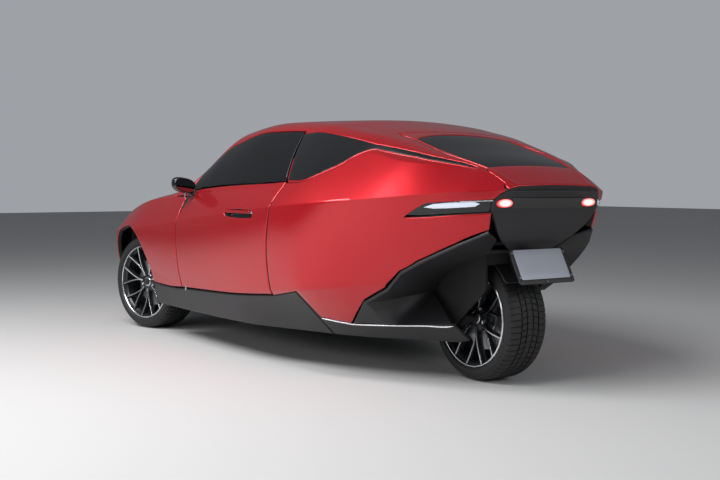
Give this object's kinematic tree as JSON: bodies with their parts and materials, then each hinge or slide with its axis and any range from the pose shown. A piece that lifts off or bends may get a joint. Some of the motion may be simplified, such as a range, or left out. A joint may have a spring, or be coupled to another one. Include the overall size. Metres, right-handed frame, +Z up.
{
  "type": "three-wheeled car",
  "caption": "Low two-door hatchback coupe on three wheels: a steered pair in front and a single driven wheel under a tapered tail.",
  "frame": {"origin": "on the ground, under the middle of the car's length and width", "axes": "+X forward, +Y to the car's left, +Z up"},
  "size_m": [4.02, 1.9, 1.3449],
  "materials": {
    "paint": "gloss metallic red",
    "glass": "tinted",
    "black_plastic": "satin black",
    "tyre": "matt",
    "wheel": "dark with machined edges",
    "steel": "turned",
    "caliper": "satin",
    "chassis": "satin black",
    "tub": "satin black",
    "casing": "cast",
    "seat": "stitched",
    "cabin_trim": "soft grain",
    "plate": "blank",
    "tail_lamp": "clear red lens",
    "head_lamp": "clear lens"
  },
  "bodies": {
    "car": {"arch_liners": "black_plastic", "battery_pack": "casing", "boot_floor": "tub", "cowl": "tub", "dashboard": "cabin_trim", "door_hinge_pins": "chassis", "drive_motor": "casing", "fender_left": "paint", "fender_right": "paint", "floor_tub": "tub", "front_seats": "seat", "front_subframe": "chassis", "head_lamps": "head_lamp", "nose_bumper": "paint", "number_plate": "plate", "quarter_left": "paint", "quarter_right": "paint", "quarter_windows": "glass", "rear_fairings": "black_plastic", "rear_mudguard": "black_plastic", "rear_seat": "seat", "rear_swingarm": "chassis", "rear_wheelhouse": "black_plastic", "roof": "paint", "skirts": "black_plastic", "steering_wheel": "cabin_trim", "tail_fascia": "black_plastic", "tail_lamps": "tail_lamp", "windscreen": "glass", "wishbones": "chassis"},
    "door_left": {"door_panel_left": "paint", "door_glass_left": "glass", "door_handle_left": "paint", "door_mirror_left": "paint"},
    "door_right": {"door_panel_right": "paint", "door_glass_right": "glass", "door_handle_right": "paint", "door_mirror_right": "paint"},
    "hood": {"hood_panel": "paint"},
    "hatch": {"hatch_panel": "paint", "hatch_glass": "glass"},
    "steer_left": {"knuckle_front_left": "chassis", "caliper_front_left": "caliper"},
    "steer_right": {"knuckle_front_right": "chassis", "caliper_front_right": "caliper"},
    "wheel_left": {"tyre_front_left": "tyre", "wheel_front_left": "wheel", "brake_disc_front_left": "steel"},
    "wheel_right": {"tyre_front_right": "tyre", "wheel_front_right": "wheel", "brake_disc_front_right": "steel"},
    "wheel_rear": {"tyre_rear": "tyre", "wheel_rear": "wheel", "brake_disc_rear": "steel"}
  },
  "joints": [
    {"name": "door_left_hinge", "type": "hinge", "parent": "car", "child": "door_left", "pos_m": [0.302, 0.838, 0.64], "axis": [0, 0, 1], "range_deg": [-62, 0]},
    {"name": "door_right_hinge", "type": "hinge", "parent": "car", "child": "door_right", "pos_m": [0.302, -0.838, 0.64], "axis": [0, 0, 1], "range_deg": [0, 62]},
    {"name": "hood_hinge", "type": "hinge", "parent": "car", "child": "hood", "pos_m": [0.584, 0, 0.955], "axis": [0, -1, 0], "range_deg": [0, 52]},
    {"name": "hatch_hinge", "type": "hinge", "parent": "car", "child": "hatch", "pos_m": [-1.274, 0, 1.2], "axis": [0, 1, 0], "range_deg": [0, 62]},
    {"name": "steer_left_kingpin", "type": "hinge", "parent": "car", "child": "steer_left", "pos_m": [1.206, 0.6, 0.315], "axis": [0, 0, 1], "range_deg": [-48.8, 17.2]},
    {"name": "steer_right_kingpin", "type": "hinge", "parent": "car", "child": "steer_right", "pos_m": [1.206, -0.6, 0.315], "axis": [0, 0, 1], "range_deg": [-48.8, 17.2]},
    {"name": "wheel_left_spin", "type": "hinge", "parent": "steer_left", "child": "wheel_left", "pos_m": [1.1864, 0.66928, 0.315], "axis": [-0.2723, 0.9622, 0], "continuous": true},
    {"name": "wheel_right_spin", "type": "hinge", "parent": "steer_right", "child": "wheel_right", "pos_m": [1.2256, -0.66928, 0.315], "axis": [-0.2723, 0.9622, 0], "continuous": true},
    {"name": "wheel_rear_spin", "type": "hinge", "parent": "car", "child": "wheel_rear", "pos_m": [-1.536, 0, 0.315], "axis": [0, 1, 0], "continuous": true}
  ],
  "couplings": [
    {"joint": "steer_right_kingpin", "follows": "steer_left_kingpin", "ratio": 1}
  ]
}
